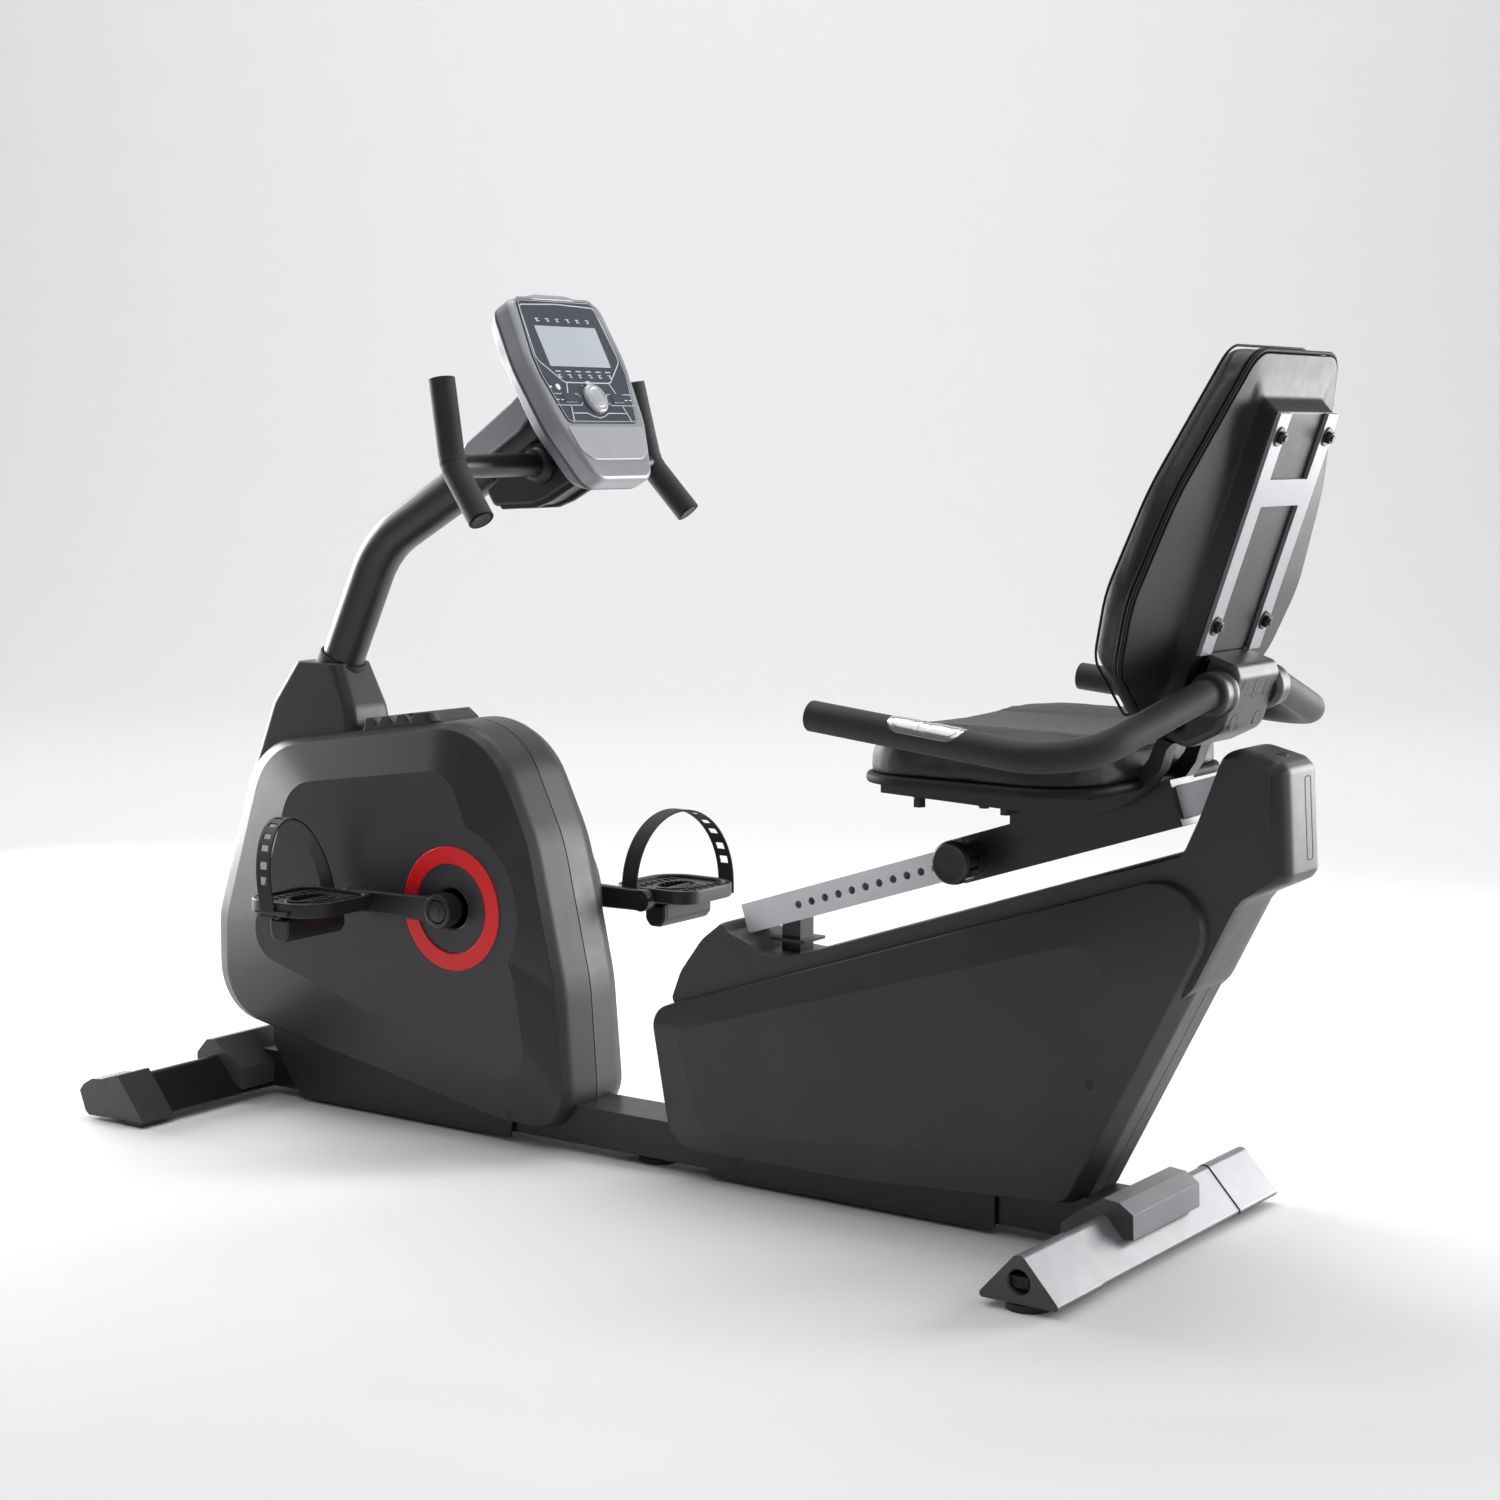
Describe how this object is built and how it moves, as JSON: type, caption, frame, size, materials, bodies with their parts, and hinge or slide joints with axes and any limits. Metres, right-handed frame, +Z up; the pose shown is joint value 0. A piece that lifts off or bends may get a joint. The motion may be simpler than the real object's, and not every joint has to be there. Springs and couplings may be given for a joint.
{
  "type": "recumbent exercise bike",
  "caption": "Recumbent exercise bike with covered belt drive, console mast, pedals, and a backrest seat that slides along a tilted rail.",
  "frame": {"origin": "on the floor, under the middle of the bounding box", "axes": "+X to the bike's rear, where the seat is; +Y to the seated rider's right; +Z up"},
  "size_m": [1.716, 0.6742, 1.143],
  "materials": {
    "charcoal_plastic": "fine textured charcoal",
    "dark_plastic": "fine textured near black",
    "silver_plastic": "satin silver",
    "face_panel": "blue grey printed panel",
    "red_plastic": "gloss red",
    "board_plastic": "green board",
    "black_paint": "satin black",
    "charcoal_paint": "satin charcoal",
    "grey_paint": "satin grey",
    "rail_paint": "satin light grey",
    "machined_steel": "machined",
    "flywheel_iron": "turned",
    "black_rubber": "matt rubber",
    "black_vinyl": "grained vinyl over foam",
    "pulse_metal": "brushed bright plate"
  },
  "bodies": {
    "frame": {"main_beam": "black_paint", "front_mast": "black_paint", "drive_frame": "black_paint", "front_stabilizer": "black_paint", "rear_stabilizer": "grey_paint", "frame_bolts": "machined_steel", "saddle_covers": "charcoal_plastic", "end_caps": "charcoal_plastic", "mid_foot": "black_rubber", "front_cover_left": "charcoal_plastic", "front_cover_right": "charcoal_plastic", "ring_trims": "red_plastic", "top_tray": "charcoal_plastic", "post_collar": "charcoal_plastic", "console_post": "charcoal_paint", "console_bar": "black_paint", "console_grips": "black_rubber", "console_clamp": "dark_plastic", "neck_cover": "silver_plastic", "console_front": "silver_plastic", "console_back": "charcoal_plastic", "faceplate": "face_panel", "circuit_board": "board_plastic", "rear_cover_left": "charcoal_plastic", "rear_cover_right": "charcoal_plastic", "tower_cover": "charcoal_plastic", "seat_rail": "rail_paint", "crank_bearings": "machined_steel", "flywheel_axle": "machined_steel", "drive_belt": "black_rubber", "brake_servo": "dark_plastic", "power_inlet": "dark_plastic"},
    "crank": {"crank_axle": "machined_steel", "crank_pulley": "dark_plastic", "crank_arms": "black_paint"},
    "left_pedal": {"pedal_left": "dark_plastic", "strap_left": "black_rubber"},
    "right_pedal": {"pedal_right": "dark_plastic", "strap_right": "black_rubber"},
    "flywheel_body": {"flywheel": "flywheel_iron"},
    "idler_body": {"idler_wheel": "dark_plastic"},
    "magnet_body": {"magnet_bracket": "machined_steel"},
    "seat": {"seat_sleeve": "black_paint", "seat_bracket": "black_paint", "seat_pad": "black_vinyl", "back_pad": "black_vinyl", "back_shell": "dark_plastic", "back_frame": "grey_paint", "bar_clamp": "grey_paint", "seat_bar": "black_paint", "pulse_plates": "pulse_metal", "seat_bolts": "machined_steel"},
    "lock": {"lock_knob": "dark_plastic"},
    "dial_body": {"dial": "silver_plastic"},
    "left_key": {"key_left": "red_plastic"},
    "right_key": {"key_right": "red_plastic"},
    "left_wheel": {"wheel_left": "dark_plastic"},
    "right_wheel": {"wheel_right": "dark_plastic"},
    "left_level": {"level_foot_left": "black_rubber"},
    "right_level": {"level_foot_right": "black_rubber"}
  },
  "joints": [
    {"name": "flywheel_spin", "type": "hinge", "parent": "frame", "child": "flywheel_body", "pos_m": [-0.494, 0, 0.23], "axis": [0, 1, 0], "continuous": true},
    {"name": "crank_spin", "type": "hinge", "parent": "frame", "child": "crank", "pos_m": [-0.334, 0, 0.322], "axis": [0, 1, 0], "continuous": true},
    {"name": "idler_spin", "type": "hinge", "parent": "frame", "child": "idler_body", "pos_m": [-0.423, 0.037, 0.181], "axis": [0, 1, 0], "continuous": true},
    {"name": "left_pedal_spin", "type": "hinge", "parent": "crank", "child": "left_pedal", "pos_m": [-0.504, -0.177, 0.322], "axis": [0, 1, 0], "continuous": true},
    {"name": "right_pedal_spin", "type": "hinge", "parent": "crank", "child": "right_pedal", "pos_m": [-0.164, 0.177, 0.322], "axis": [0, 1, 0], "continuous": true},
    {"name": "magnet_tilt", "type": "hinge", "parent": "frame", "child": "magnet_body", "pos_m": [-0.61, -0.03, 0.297], "axis": [0, 1, 0], "range_deg": [-8, 0]},
    {"name": "seat_slide", "type": "slide", "parent": "frame", "child": "seat", "axis": [0.9511, 0, 0.309], "range_m": [-0.2538, 0]},
    {"name": "lock_push", "type": "slide", "parent": "seat", "child": "lock", "axis": [0, 1, 0], "range_m": [0, 0.012]},
    {"name": "dial_spin", "type": "hinge", "parent": "frame", "child": "dial_body", "pos_m": [-0.15144, 0, 1.00466], "axis": [0.887, 0, 0.4617], "continuous": true},
    {"name": "left_key_press", "type": "slide", "parent": "frame", "child": "left_key", "axis": [-0.887, 0, -0.4617], "range_m": [0, 0.001], "stiffness_N_per_m": 600},
    {"name": "right_key_press", "type": "slide", "parent": "frame", "child": "right_key", "axis": [-0.887, 0, -0.4617], "range_m": [0, 0.001], "stiffness_N_per_m": 600},
    {"name": "left_wheel_spin", "type": "hinge", "parent": "frame", "child": "left_wheel", "pos_m": [-0.826, -0.264, 0.027], "axis": [0, 1, 0], "continuous": true},
    {"name": "right_wheel_spin", "type": "hinge", "parent": "frame", "child": "right_wheel", "pos_m": [-0.826, 0.264, 0.027], "axis": [0, 1, 0], "continuous": true},
    {"name": "left_level_turn", "type": "hinge", "parent": "frame", "child": "left_level", "pos_m": [0.656, -0.256, 0.03], "axis": [0, 0, 1], "continuous": true},
    {"name": "right_level_turn", "type": "hinge", "parent": "frame", "child": "right_level", "pos_m": [0.656, 0.256, 0.03], "axis": [0, 0, 1], "continuous": true}
  ],
  "couplings": [
    {"joint": "crank_spin", "follows": "flywheel_spin", "ratio": 0.144},
    {"joint": "idler_spin", "follows": "flywheel_spin", "ratio": -0.9}
  ]
}
